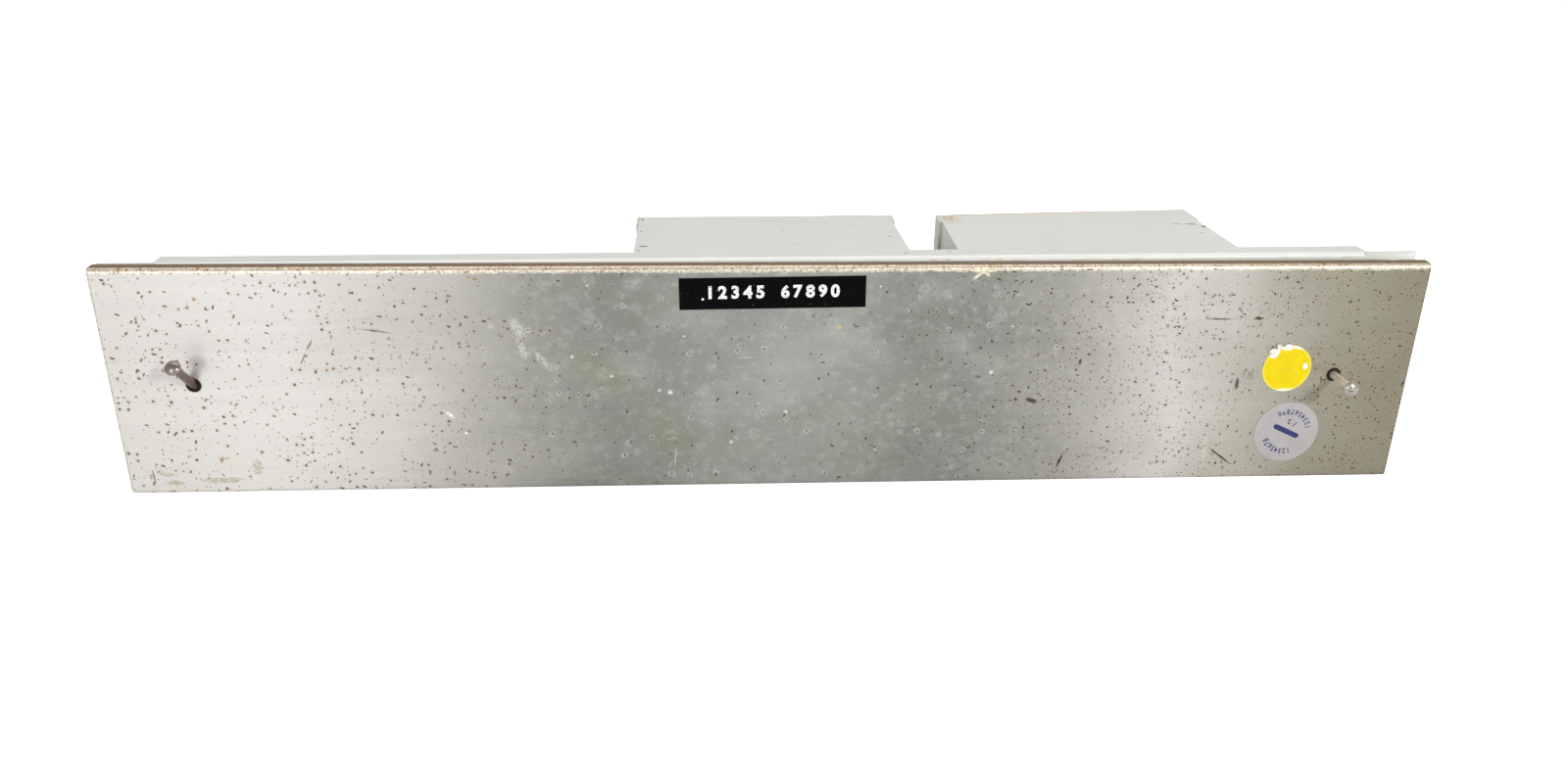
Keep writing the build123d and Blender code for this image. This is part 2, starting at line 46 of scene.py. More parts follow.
joint = {j["name"]: j for j in frame["joints"]}
scene = bpy.context.scene
MM = 0.001
PER_METRE = 1000.0


# --- Node building -------------------------------------------------------------------------------

def rgb(red, green, blue):
    """A colour from its usual 0-255 values, as the renderer's linear numbers."""
    def linear(value):
        value = value / 255.0
        return value / 12.92 if value <= 0.04045 else ((value + 0.055) / 1.055) ** 2.4
    return (linear(red), linear(green), linear(blue))


class Finish:
    """A material, with short calls that add its nodes and return their sockets."""

    SMALLEST_SPECK = 0.35
    SPECK_EDGE = 0.3
    ENDLESS = 1e6

    def __init__(self, name):
        self.material = bpy.data.materials.new(name)
        self.material.use_nodes = True
        self.tree = self.material.node_tree
        self.tree.nodes.clear()
        output = self.tree.nodes.new("ShaderNodeOutputMaterial")
        self.shader = self.tree.nodes.new("ShaderNodeBsdfPrincipled")
        self.tree.links.new(self.shader.outputs[0], output.inputs[0])

    def put(self, socket, value):
        """Link a socket to another, or set its value."""
        if isinstance(value, bpy.types.NodeSocket):
            self.tree.links.new(value, socket)
        elif socket.type == "RGBA":
            socket.default_value = (*value, 1.0)
        else:
            socket.default_value = value

    def node(self, kind, inputs=(), **settings):
        node = self.tree.nodes.new(kind)
        for key, value in settings.items():
            setattr(node, key, value)
        for key, value in dict(inputs).items():
            self.put(node.inputs[key], value)
        return node

    def set(self, **values):
        """Set or link the shader's sockets; an underscore stands for a space."""
        for key, value in values.items():
            self.put(self.shader.inputs[key.replace("_", " ")], value)

    def place(self):
        """Object coordinates, in millimetres."""
        return self.scale(self.node("ShaderNodeTexCoord").outputs["Object"], PER_METRE)

    def vector(self, operation, a, b=(0, 0, 0)):
        node = self.node("ShaderNodeVectorMath", {0: a, 1: b}, operation=operation)
        return node.outputs["Value" if operation in ("DOT_PRODUCT", "LENGTH") else "Vector"]

    def scale(self, value, share):
        """A colour or a vector times a number."""
        node = self.node("ShaderNodeVectorMath", {0: value, "Scale": share}, operation="SCALE")
        return node.outputs["Vector"]

    def math(self, operation, a, b=0.0, c=0.0):
        return self.node("ShaderNodeMath", {0: a, 1: b, 2: c}, operation=operation).outputs[0]

    def most(self, first, *others):
        for value in others:
            first = self.math("MAXIMUM", first, value)
        return first

    def product(self, first, *others):
        for value in others:
            first = self.math("MULTIPLY", first, value)
        return first

    def span(self, value, low, high, to_low=0.0, to_high=1.0, smooth=False):
        """Value carried from one range to another, held at its ends."""
        kind = "SMOOTHSTEP" if smooth else "LINEAR"
        node = self.node("ShaderNodeMapRange", interpolation_type=kind, clamp=True)
        for key, item in (("Value", value), ("From Min", low), ("From Max", high),
                          ("To Min", to_low), ("To Max", to_high)):
            self.put(node.inputs[key], item)
        return node.outputs["Result"]

    def noise(self, place, size, detail=2.0, roughness=0.55, seed=0.0):
        """Cloudy noise from 0 to 1; size is that of its features, one number or three."""
        sizes = size if isinstance(size, tuple) else (size, size, size)
        scaled = self.vector("MULTIPLY", place, tuple(1.0 / s for s in sizes))
        moved = self.vector("ADD", scaled, (seed, seed * 1.7, seed * 0.6))
        return self.node("ShaderNodeTexNoise", {"Vector": moved, "Scale": 1.0, "Detail": detail,
                                                "Roughness": roughness}).outputs["Fac"]

    def patches(self, place, size, low, high, to_low=0.0, to_high=1.0, **more):
        """Noise carried from the range between low and high to another range."""
        return self.span(self.noise(place, size, **more), low, high, to_low, to_high)

    def wander(self, place, size, amount, seed=0.0):
        """Place pushed about by noise, in millimetres."""
        scaled = self.scale(self.vector("ADD", place, (seed, seed, seed)), 1.0 / size)
        node = self.node("ShaderNodeTexNoise", {"Vector": scaled, "Scale": 1.0, "Detail": 2.0})
        push = self.scale(self.vector("SUBTRACT", node.outputs["Color"], (0.5, 0.5, 0.5)), amount)
        return self.vector("ADD", place, push)

    def specks(self, place, spacing, radius, share, seed=0.0, stretch=(1.0, 1.0), turn=0.0,
               flat=True, grow=1.0):
        """Scattered irregular dots: a share of the cells, a spacing wide, hold one up to radius."""
        if turn:
            place = self.node("ShaderNodeVectorRotate", {"Vector": place, "Angle": turn},
                              rotation_type="Z_AXIS").outputs["Vector"]
        sizes = (1.0 / (spacing * stretch[0]), 1.0 / (spacing * stretch[1]), 1.0 / spacing)
        scaled = self.vector("MULTIPLY", place, sizes)
        moved = self.vector("ADD", scaled, (seed, seed * 2.3, seed * 0.7))
        cells = self.node("ShaderNodeTexVoronoi", {"Vector": moved, "Scale": 1.0},
                          voronoi_dimensions="2D" if flat else "3D")
        pick = self.node("ShaderNodeSeparateColor", {"Color": cells.outputs["Color"]})
        chosen = self.math("LESS_THAN", pick.outputs[0], share)
        large = self.span(pick.outputs[1], 0.0, 1.0, self.SMALLEST_SPECK, 1.0)
        reach = self.product(large, chosen, radius / spacing, grow)
        edge = self.math("SUBTRACT", reach, cells.outputs["Distance"])
        return self.span(edge, 0.0, self.SPECK_EDGE * radius / spacing)

    def mark(self, place, centre, size, turn=0.0, soft=0.4):
        """An oval mark in the X-Y plane: 1 inside, falling to 0 at its edge."""
        node = self.node("ShaderNodeMapping", {
            "Vector": place, "Location": (*centre, 0), "Rotation": (0, 0, math.radians(turn)),
            "Scale": (*size, self.ENDLESS)}, vector_type="TEXTURE")
        reach = self.vector("LENGTH", node.outputs["Vector"])
        return self.span(reach, 1.0, 1.0 - soft, smooth=True)

    def strokes(self, place, lines, soft=0.6):
        """Scratches in the X-Y plane, each from one point to another with a half width."""
        marks = []
        for x0, y0, x1, y1, width in lines:
            half = max(math.hypot(x1 - x0, y1 - y0) / 2, width)
            turn = math.degrees(math.atan2(y1 - y0, x1 - x0))
            middle = ((x0 + x1) / 2, (y0 + y1) / 2)
            marks.append(self.mark(place, middle, (half, width), turn, soft))
        return self.most(*marks)

    def mix(self, share, a, b):
        return self.node("ShaderNodeMix", {0: share, 6: a, 7: b}, data_type="RGBA",
                         clamp_factor=True).outputs[2]

    def over(self, colour, paint, *shares):
        """A colour with paint over it, as much as the product of the shares."""
        paint = rgb(*paint) if isinstance(paint, tuple) else paint
        return self.mix(self.product(*shares), colour, paint)

    def ramp(self, share, stops):
        """Colours in 0-255 values along a share from 0 to 1."""
        node = self.node("ShaderNodeValToRGB", {"Fac": share})
        elements = node.color_ramp.elements
        for position, _ in stops[1:-1]:
            elements.new(position)
        for element, (position, colour) in zip(elements, stops):
            element.position = position
            element.color = (*rgb(*colour), 1.0)
        return node.outputs["Color"]

    def bump(self, height, depth, strength):
        """A bump of a height from 0 to 1 times depth, in millimetres."""
        return self.node("ShaderNodeBump", {"Height": height, "Strength": strength,
                                            "Distance": depth * MM}).outputs["Normal"]


def wear(finish, *names):
    """Give CAD nodes a finish."""
    for name in names:
        materials = nodes[name].data.materials
        materials.clear()
        materials.append(finish.material)


# --- The dress cover's own frame -----------------------------------------------------------------

COVER_HALF_WIDTH = 241.3
COVER_HEIGHT = 88.1
COVER_SHEET = 1.2
HOLE_RIGHT = 212.0
HOLE_UP = COVER_HEIGHT / 2
DOT_CENTRE = (193.2, 46.8)
DOT_RADIUS = 9.5
TAG_CENTRE = (197.6, 20.1)
TAG_RADIUS = 12.7

cover_front = Vector(joint["right_screw_turn"]["axis"]).normalized()
left_hole = Vector(joint["left_screw_turn"]["pos_m"])
right_hole = Vector(joint["right_screw_turn"]["pos_m"])
cover_right = (right_hole - left_hole).normalized()
cover_up = cover_right.cross(-cover_front).normalized()
cover_origin = ((left_hole + right_hole) / 2 + cover_front * (COVER_SHEET / 2 * MM)
                - cover_up * (COVER_HEIGHT / 2 * MM))


def cover_matrix(right, up, out=0.0, turn=0.0):
    """Local X to the right, Y up and Z out of the cover, turned about Z, in millimetres."""
    point = cover_origin + (cover_right * right + cover_up * up + cover_front * out) * MM
    axes = Matrix((cover_right, cover_up, cover_front)).transposed().to_4x4()
    spin = Matrix.Rotation(math.radians(turn), 4, "Z")
    return Matrix.Translation(point) @ axes @ spin @ Matrix.Diagonal((MM, MM, MM, 1.0))


def cover_place(finish):
    """Millimetres right, up and out on the cover, as X, Y and Z, and each by itself."""
    coords = finish.node("ShaderNodeTexCoord").outputs["Object"]
    start = finish.vector("SUBTRACT", coords, tuple(cover_origin))
    parts = [finish.vector("DOT_PRODUCT", start, tuple(axis * PER_METRE))
             for axis in (cover_right, cover_up, cover_front)]
    joined = finish.node("ShaderNodeCombineXYZ", dict(zip("XYZ", parts)))
    return joined.outputs[0], parts


# --- Brushed, stained steel of the dress cover, with painted reflection and highlight ------------

COVER_GAIN = 0.91
# Painted reflection: the cover's tone along its width stands in for the surroundings mirrored in
# the steel, bright at both ends and dark in the middle; COVER_GAIN scales it.
COVER_REFLECTION_TONES = [
    (0.00, (226, 223, 217)), (0.085, (232, 229, 224)), (0.14, (229, 226, 221)),
    (0.20, (214, 211, 204)), (0.255, (188, 186, 178)), (0.31, (160, 160, 152)),
    (0.37, (139, 141, 134)), (0.42, (142, 145, 138)), (0.50, (158, 161, 155)),
    (0.55, (155, 158, 151)), (0.60, (138, 141, 135)), (0.655, (138, 141, 134)),
    (0.71, (160, 159, 150)), (0.765, (188, 186, 178)), (0.81, (210, 208, 202)),
    (0.86, (186, 183, 171)), (0.92, (160, 156, 140)), (1.00, (142, 137, 118)),
]
BROWN_RUST = [(0.30, (82, 60, 38)), (0.5, (118, 88, 52)), (0.7, (158, 124, 76))]
SOOTY_RUST = [(0.36, (48, 44, 36)), (0.58, (76, 64, 48)), (0.72, (124, 88, 58))]
BEND_HIGHLIGHT_SPECKS = [(0.32, (146, 112, 78)), (0.42, (206, 188, 160)), (0.51, (244, 238, 222)),
             (0.66, (250, 247, 238))]
FLANGE_BROWN = [(0.3, (96, 70, 52)), (0.5, (134, 110, 86)), (0.7, (178, 150, 114))]

# Scratches on the cover, in millimetres: from right and up, to right and up, half width
RUST_LINES = [
    (-152.5, 65.6, -138, 63.4, 0.4), (-167.8, 61.7, -170.6, 56.8, 0.45),
    (-170.6, 56.8, -173.6, 51.1, 0.35), (107.6, 4.4, 110.6, 13.1, 0.7),
    (113, 51.9, 112.6, 48.5, 0.8), (92.5, 35.6, 98.7, 33.5, 1.3),
    (158.1, 66.9, 170.5, 66.9, 0.4), (176.5, 67.1, 181, 67, 0.8),
    (166.4, 14.8, 178.9, 5.2, 0.55), (-232.6, 11, -232, 3.4, 0.35),
]
PALE_LINES = [
    (-98.3, 70, -92, 60, 2.6), (-95.6, 62.5, -92.1, 51.8, 2.0), (-90, 57.1, -84.5, 49, 1.6),
    (-105.5, 67.6, -102.8, 64.4, 1.2), (-38.7, 18.1, -39.9, 6.7, 0.5),
    (-17.1, 53.1, -8.2, 53, 0.4), (166.1, 3.6, 166.2, 21.5, 1.0),
]
GLUE_LINES = [
    (-229.1, 5, -221.1, 4.2, 1.3), (-216.7, 5.4, -198.2, 5.6, 1.4),
    (-194.2, 14.4, -194.2, 7, 2.2), (-208.9, 15.3, -202.9, 14.4, 0.8),
    (-231.2, 8.9, -224.3, 7.8, 1.1),
]
WHITE_LINES = [(-124.7, 33.6, -119.8, 29.5, 0.9), (-117.3, 24.9, -116.2, 22.9, 0.7)]
STAR_LINES = [
    (73.3, 85.7, 69, 82.5, 0.8), (73.3, 85.7, 76.2, 84, 0.7), (73.3, 85.7, 74.6, 88.2, 0.7),
    (73.3, 85.7, 79, 86.4, 0.7), (73.3, 85.7, 67, 86.6, 0.7),
]
# Painted glints, small bright dots: right, up, radius
GLINT_DOTS = [
    (-44.7, 40.2, 0.8), (-40.7, 39.4, 1.3), (-76.1, 54, 1.0), (-62.2, 46.1, 0.9),
    (-18.2, 18.6, 0.9), (2.4, 31, 0.9), (-7.9, 34.6, 0.6), (36.8, 14.6, 0.6), (79.2, 46.3, 1.2),
    (85.7, 64.6, 0.6), (36.1, 80.3, 0.7), (-35.2, 61.6, 0.7), (-69.5, 81.1, 0.6),
]


def cover_brushing(f, at):
    """Long fine streaks along the sheet, darker below 0 and lighter above it."""
    streak = f.noise(at.place, (60, 0.55, 60), detail=3, roughness=0.7, seed=1.0)
    hair = f.noise(at.place, (24, 0.16, 24), detail=2, roughness=0.6, seed=7.0)
    fine = f.math("ADD", f.span(streak, 0.2, 0.8, -0.5, 0.5), f.span(hair, 0.2, 0.8, -0.5, 0.5))
    band = f.patches(at.place, (160, 5.0, 160), 0.3, 0.7, -0.3, 0.3, detail=2, seed=5.0)
    return f.math("ADD", fine, band)


def cover_painted_reflection(f, at, brush):
    """Painted reflection along the sheet, bright at the ends and dark in the middle, with soft
    clouds, brushed, and lighter towards its lower edge.
    """
    cloud = f.patches(at.place, (46, 30, 46), 0.25, 0.75, -9.0, 9.0, detail=3, seed=3.1)
    # Painted reflection: this ramp, not the lamps, gives the cover its light ends and dark middle.
    along = f.span(f.math("ADD", at.right, cloud), -COVER_HALF_WIDTH, COVER_HALF_WIDTH)
    colour = f.scale(f.ramp(along, COVER_REFLECTION_TONES), f.math("MULTIPLY_ADD", brush, 0.07, COVER_GAIN))
    return f.scale(colour, f.span(at.up, 4, 66, 1.10, 1.0))


def cover_haze(f, at, colour):
    """Dull haze and dirty patches over the middle."""
    middle = f.product(f.span(at.right, -125, -80), f.span(at.right, 120, 70))
    haze = f.patches(at.place, (30, 20, 30), 0.48, 0.72, detail=4, roughness=0.6, seed=9.0)
    colour = f.over(colour, (190, 192, 184), haze, middle, 0.32)
    drift = f.wander(at.place, 9, 8, seed=5.0)
    smudge = f.most(f.mark(drift, (-66, 48), (24, 11), -30, 1.0),
                    f.mark(drift, (-42, 22), (13, 20), 20, 1.0))
    colour = f.over(colour, (140, 138, 104), smudge, 0.5)
    olive = f.patches(at.place, (44, 26, 44), 0.5, 0.7, detail=3, seed=19.0)
    return f.over(colour, (128, 130, 112), olive, middle, 0.35)


def cover_pits(f, at, colour):
    """Pits over the middle, each a dark point in a pale smudge, and pale bloom round them."""
    pitted = f.product(f.span(at.right, -135, -95), f.span(at.right, 190, 140))
    blot = f.wander(at.place, 1.3, 2.4, seed=4.0)
    torn = f.patches(at.place, 0.8, 0.40, 0.58, detail=3, roughness=0.7, seed=14.0)
    ring = f.specks(blot, 8.5, 1.5, 0.45, seed=51.0)
    point = f.specks(at.near, 8.5, 0.5, 0.45, seed=51.0)
    dots = f.specks(at.near, 5.2, 0.42, 0.45, seed=61.0)
    bloom = f.specks(blot, 15.0, 3.4, 0.5, seed=71.0)
    mottle = f.patches(at.place, 3.2, 0.5, 0.72, detail=5, roughness=0.65, seed=24.0)
    colour = f.over(colour, (208, 210, 204), mottle, pitted, 0.24)
    colour = f.over(colour, (215, 216, 208), bloom, pitted, torn, 0.22)
    colour = f.over(colour, (216, 217, 210), ring, torn, pitted, 0.5)
    return f.over(colour, (84, 78, 66), f.most(point, dots), pitted, 0.8)


def rust_specks(f, at):
    """Rust specks, larger to the left and denser to the right, and the soak round them."""
    near = at.near
    west = f.span(at.right, -70, -130)
    east = f.span(at.right, 35, 125)
    grow = f.span(at.right, 0, 110, 1.08, 0.9)
    patchy = f.patches(at.place, (22, 16, 22), 0.36, 0.62, detail=4, roughness=0.6, seed=12.0)
    crowd = f.math("ADD", f.product(west, 0.42), f.math("MULTIPLY_ADD", east, 0.62, 0.03))
    crowd = f.product(crowd, f.math("MULTIPLY_ADD", patchy, 0.9, 0.2))
    sparse = f.product(crowd, 0.6)
    rust = f.most(
        f.specks(near, 3.0, 0.56, crowd, seed=11.0, grow=grow),
        f.specks(near, 4.2, 0.68, sparse, seed=21.0, stretch=(0.6, 1.4), turn=0.5, grow=grow),
        f.specks(near, 4.8, 0.72, sparse, seed=31.0, stretch=(1.5, 0.6), turn=0.3, grow=grow),
        f.specks(near, 1.7, 0.30, f.product(crowd, 0.8), seed=81.0),
        f.specks(near, 12.0, 0.6, 0.35, seed=41.0),
        f.strokes(near, RUST_LINES),
        f.mark(near, (89.4, 35.1), (0.8, 0.8)))
    return rust, f.specks(near, 3.0, 1.5, crowd, seed=11.0)


def cover_rust(f, at, colour, rust, soak):
    """Brown rust at the left end, darker over the rest, with a faint stain round it."""
    colour = f.over(colour, (186, 152, 108), soak, 0.16)
    brown = f.ramp(f.noise(at.place, 2.5, seed=17.0), BROWN_RUST)
    sooty = f.ramp(f.noise(at.place, 3.5, seed=27.0), SOOTY_RUST)
    return f.over(colour, f.mix(f.span(at.right, -95, -60), brown, sooty), rust, 0.95)


def cover_scratches(f, at, colour):
    """Scratches, dried paint and glue, small bright dots that are painted glints, and black
    smudges.
    """
    place, near, ragged = at.place, at.near, at.ragged
    broken = f.patches(place, 1.0, 0.38, 0.52, detail=3, seed=23.0)
    colour = f.over(colour, (214, 215, 206), f.strokes(ragged, PALE_LINES), broken, 0.6)
    colour = f.over(colour, (193, 187, 160), f.strokes(ragged, GLUE_LINES, 0.3), broken, 0.8)
    # Painted highlight: the small white dots stand for glints on the steel.
    frayed = f.wander(place, 0.6, 1.5, seed=31.0)
    glint_blobs = f.most(*[f.mark(frayed, (x, y), (r, r), 0, 0.9) for x, y, r in GLINT_DOTS])
    colour = f.over(colour, (240, 240, 232), glint_blobs, 0.85)
    colour = f.over(colour, (250, 250, 246), f.strokes(ragged, WHITE_LINES), broken)
    colour = f.over(colour, (205, 180, 140), f.mark(near, (21.4, 64.7), (1.1, 1.3)), 0.8)
    cloudy = f.patches(place, (1.6, 2.2, 1.6), 0.46, 0.6, detail=4, roughness=0.7, seed=27.0)
    lower = f.mark(place, (178.5, 43.5), (5.0, 4.6), 0, 1.0)
    colour = f.over(colour, (96, 92, 92), lower, cloudy, 0.75)
    upper = f.mark(place, (182.2, 70.9), (6.0, 4.5), 0, 1.0)
    colour = f.over(colour, (120, 120, 124), upper, cloudy, 0.4)
    return f.over(colour, (52, 50, 56), f.mark(near, (174.7, 40.6), (0.9, 3.0)), 0.85)


def cover_holes(f, at, colour):
    """Rust round the two holes, painted shade darkening their edges where the hole looks into
    shadow, and a bright lip under the left one.
    """
    for x in (-HOLE_RIGHT, HOLE_RIGHT):
        halo = f.mark(at.near, (x, HOLE_UP), (3.7, 3.7))
        colour = f.over(colour, (120, 92, 62), halo, 0.4)
        # Painted shade: a near-black disc at each hole stands for the shadow seen through it.
        edge = f.mark(at.place, (x, HOLE_UP), (2.78, 2.78), 0, 0.03)
        colour = f.over(colour, (34, 26, 20), edge)
    lip = f.mark(at.near, (-212.4, HOLE_UP - 3.6), (3.4, 0.9), -12, 0.6)
    return f.over(colour, (238, 232, 222), lip, 0.6)


def cover_edges(f, at, colour):
    """The bend along the top carries a painted highlight where its rounded edge catches light, and
    is speckled; the flange behind it and the rim are brown.
    """
    top = COVER_HEIGHT
    ripple = f.patches(at.place, 2.2, 0.3, 0.7, -0.35, 0.35, detail=3, seed=35.0)
    uneven = f.math("ADD", at.up, ripple)
    bend = f.span(uneven, top - 2.5, top - 1.7)
    grit = f.noise(at.place, (1.6, 0.9, 0.9), detail=3, roughness=0.7, seed=33.0)
    sand = f.noise(at.place, 0.75, detail=3, roughness=0.75, seed=39.0)
    # Painted highlight: the pale band along the bend stands for light caught by the rounded edge,
    # and its darker stops are brown speckles.
    colour = f.over(colour, f.ramp(sand, BEND_HIGHLIGHT_SPECKS), bend, 0.8)
    tan = f.product(f.span(uneven, top - 1.35, top - 0.85), f.span(grit, 0.34, 0.56))
    colour = f.over(colour, (186, 146, 102), tan, 0.45)
    freckles = f.most(f.specks(at.near, 1.5, 0.62, 0.45, seed=91.0),
                      f.specks(at.near, 2.6, 1.0, 0.35, seed=95.0, flat=False))
    spotty = f.patches(at.place, 14, 0.35, 0.6, detail=3, seed=37.0)
    crowd = f.math("MULTIPLY_ADD", spotty, 0.6, 0.25)
    colour = f.over(colour, (150, 104, 62), freckles, bend, crowd)
    flange = f.product(f.span(at.up, top - 0.9, top - 0.45), f.span(at.out, -0.9, -1.7))
    colour = f.over(colour, f.ramp(grit, FLANGE_BROWN), flange, 0.9)
    star = f.most(f.strokes(at.ragged, STAR_LINES), f.mark(at.near, (73.3, 85.9), (1.5, 1.3)))
    colour = f.over(colour, (240, 230, 200), star, 0.8)
    rim = f.most(f.span(at.right, -240.3, -241.2), f.span(at.right, 240.5, 241.2),
                 f.span(at.up, 0.8, 0.2))
    return f.over(colour, (140, 112, 78), rim, f.span(grit, 0.35, 0.6), 0.6)


def cover_finish():
    f = Finish("cover_steel")
    place, (right, up, out) = cover_place(f)
    at = SimpleNamespace(place=place, right=right, up=up, out=out)
    at.near = f.wander(f.wander(place, 0.9, 0.8, seed=2.0), 0.35, 0.3, seed=7.0)
    at.ragged = f.wander(place, 1.1, 1.3, seed=6.0)
    brush = cover_brushing(f, at)
    rust, soak = rust_specks(f, at)
    colour = cover_pits(f, at, cover_haze(f, at, cover_painted_reflection(f, at, brush)))
    colour = cover_rust(f, at, colour, rust, soak)
    for layer in (cover_scratches, cover_holes, cover_edges):
        colour = layer(f, at, colour)
    f.set(Base_Color=colour, Metallic=0.45, Roughness=0.44,
          Normal=f.bump(f.math("MULTIPLY_ADD", rust, -1.5, brush), 0.02, 0.35))
    return f


wear(cover_finish(), "front_cover")


# --- Painted sheet metal -------------------------------------------------------------------------

# Marks on the housings' lids, in the row's millimetres: from X and Y, to X and Y, half width
LID_CHIPS = [
    (166, 39.5, 172.5, 38.5, 0.9), (171.5, 35.5, 174.5, 35, 1.3), (160, 40, 167, 39.6, 0.4),
    (167.5, 27, 169.5, 26.6, 0.5), (-53, 14.5, -48.5, 14.2, 0.8), (-53.5, 9.5, -51.5, 9.5, 0.6),
    (-52.8, 52.5, -51.5, 50, 0.6), (-52.5, 35, -51.8, 33, 0.6),
]
LID_RUST = [
    (2.5, 34, 3.6, 33.6, 0.7), (6, 16, 8, 16, 0.4), (45, 3, 47.5, 3, 0.7), (62, 4, 64, 4.2, 0.6),
    (43, 26, 44.5, 24, 0.6), (103, 5, 104, 5, 0.5),
]
LID_SCUFFS = [
    (-24, 8.5, -8, 7.6, 0.3), (28, 40, 34, 42, 0.4), (100, 46, 112, 47, 0.3),
    (128, 30, 131, 36, 0.3),
]


def paint_finish(name, base, seed, marks):
    """Old paint with a few chips down to rust, and marks of its own."""
    f = Finish(name)
    place = f.place()
    cloud = f.patches(place, 40, 0.3, 0.7, 0.96, 1.02, detail=4, seed=seed)
    fine = f.patches(place, 1.1, 0.2, 0.8, -0.012, 0.012, detail=2, seed=seed + 4)
    near = f.wander(place, 1.6, 1.0, seed=seed)
    chips = f.specks(near, 9.0, 1.1, 0.16, seed=seed + 8, flat=False)
    colour = f.over(f.scale(base, f.math("ADD", cloud, fine)), (128, 98, 66), chips, 0.8)
    f.set(Base_Color=marks(f, place, near, colour), Roughness=0.38,
          Normal=f.bump(f.noise(place, 0.9, detail=1, seed=seed), 0.015, 0.5))
    return f


def chassis_marks(f, place, near, colour):
    """Chips, stains and scuffs on the housings' lids, and a paler, grimy band along the pan's front
    top edge.
    """
    axes = f.node("ShaderNodeSeparateXYZ", {"Vector": place}).outputs
    lid = f.span(axes["Z"], 88.3, 88.7)
    broken = f.patches(place, 1.3, 0.38, 0.55, detail=3, seed=43.0)
    colour = f.over(colour, (66, 70, 66), f.strokes(near, LID_CHIPS), lid, 0.9)
    colour = f.over(colour, (140, 100, 62), f.strokes(near, LID_RUST), lid, 0.8)
    stain = f.most(f.mark(near, (74, 3.4), (8, 1.6), 0, 1.0),
                   f.mark(near, (73, 48), (6, 9), 0, 1.0))
    colour = f.over(colour, (214, 186, 128), stain, lid, broken, 0.55)
    rear_corner = f.mark(near, (72, 50.5), (4.5, 5.5), 0, 0.8)
    colour = f.over(colour, (196, 152, 100), rear_corner, broken, lid, 0.7)
    colour = f.over(colour, (170, 168, 158), f.strokes(near, LID_SCUFFS), lid, 0.35)
    edge = f.product(f.span(axes["Y"], -1.55, -1.95), f.span(axes["Z"], 86.6, 87.4))
    colour = f.over(colour, (240, 241, 236), edge, 0.55)
    grime = f.patches(place, (5, 5, 1.2), 0.56, 0.68, detail=3, seed=47.0)
    return f.over(colour, (176, 150, 112), f.product(edge, grime), 0.4)


def rear_cover_marks(f, place, near, colour):
    """The plate's cut top edge is cream, and rusty in places."""
    axes = f.node("ShaderNodeSeparateXYZ", {"Vector": place}).outputs
    cut = f.span(axes["Z"], 88.6, 88.8)
    colour = f.over(colour, (228, 222, 200), cut, 0.8)
    ragged = f.math("ADD", axes["X"], f.patches(place, 6, 0.3, 0.7, -9.0, 9.0, seed=3.0))
    rusty = f.most(f.product(f.span(ragged, 74, 78), f.span(ragged, 150, 138)),
                   f.product(f.span(ragged, 25, 27), f.span(ragged, 38, 35)))
    return f.over(colour, (205, 142, 104), rusty, cut, 0.85)


wear(paint_finish("grey_paint", rgb(232, 232, 226), 0.0, chassis_marks),
     "rack_panel", "left_housing", "right_housing")
wear(paint_finish("rear_paint", rgb(226, 226, 218), 5.0, rear_cover_marks),
     "left_rear_cover", "right_rear_cover")


# --- Screws, small metal parts and plastics ------------------------------------------------------

def plain_metal(name, colour, roughness, metallic=1.0):
    f = Finish(name)
    streak = f.noise(f.place(), (3, 3, 0.4), detail=3, seed=2.0)
    f.set(Base_Color=f.scale(colour, f.span(streak, 0.25, 0.75, 0.86, 1.08)), Metallic=metallic,
          Roughness=f.span(streak, 0.25, 0.75, roughness + 0.06, roughness - 0.05),
          Normal=f.bump(streak, 0.02, 0.4))
    return f


def plain_plastic(name, colour, roughness, size=1.5, depth=0.02):
    f = Finish(name)
    grain = f.noise(f.place(), size, detail=3, seed=5.0)
    f.set(Base_Color=f.scale(colour, f.span(grain, 0.25, 0.75, 0.85, 1.12)), Roughness=roughness,
          Normal=f.bump(grain, depth, 0.5))
    return f


def screw_finish(side, head, shaft, near_hole, head_at):
    """Turned steel: the head in its own colour, the neck rusty towards the hole, with light and
    shade painted into each screw's colours.
    """
    f = Finish(f"{side}_screw_steel_painted_light")
    place = f.place()
    turn = joint[f"{side}_screw_turn"]
    pivot = tuple(Vector(turn["pos_m"]) * PER_METRE)
    axis = tuple(Vector(turn["axis"]).normalized())
    along = f.vector("DOT_PRODUCT", f.vector("SUBTRACT", place, pivot), axis)
    grit = f.noise(place, 0.9, detail=4, roughness=0.7, seed=3.0)
    colour = f.mix(f.span(along, 2.0, head_at - 3.0), near_hole, shaft)
    colour = f.mix(f.span(along, head_at - 0.6, head_at + 0.1), colour, head)
    colour = f.over(colour, (92, 62, 44), f.span(grit, 0.54, 0.68), 0.6)
    colour = f.scale(colour, f.patches(place, 0.35, 0.3, 0.7, 0.88, 1.1, detail=2, seed=9.0))
    f.set(Base_Color=colour, Metallic=0.5, Roughness=0.34, Normal=f.bump(grit, 0.06, 0.6))
    return f


LEFT_HEAD_AT = 15.5
RIGHT_HEAD_AT = 13.2
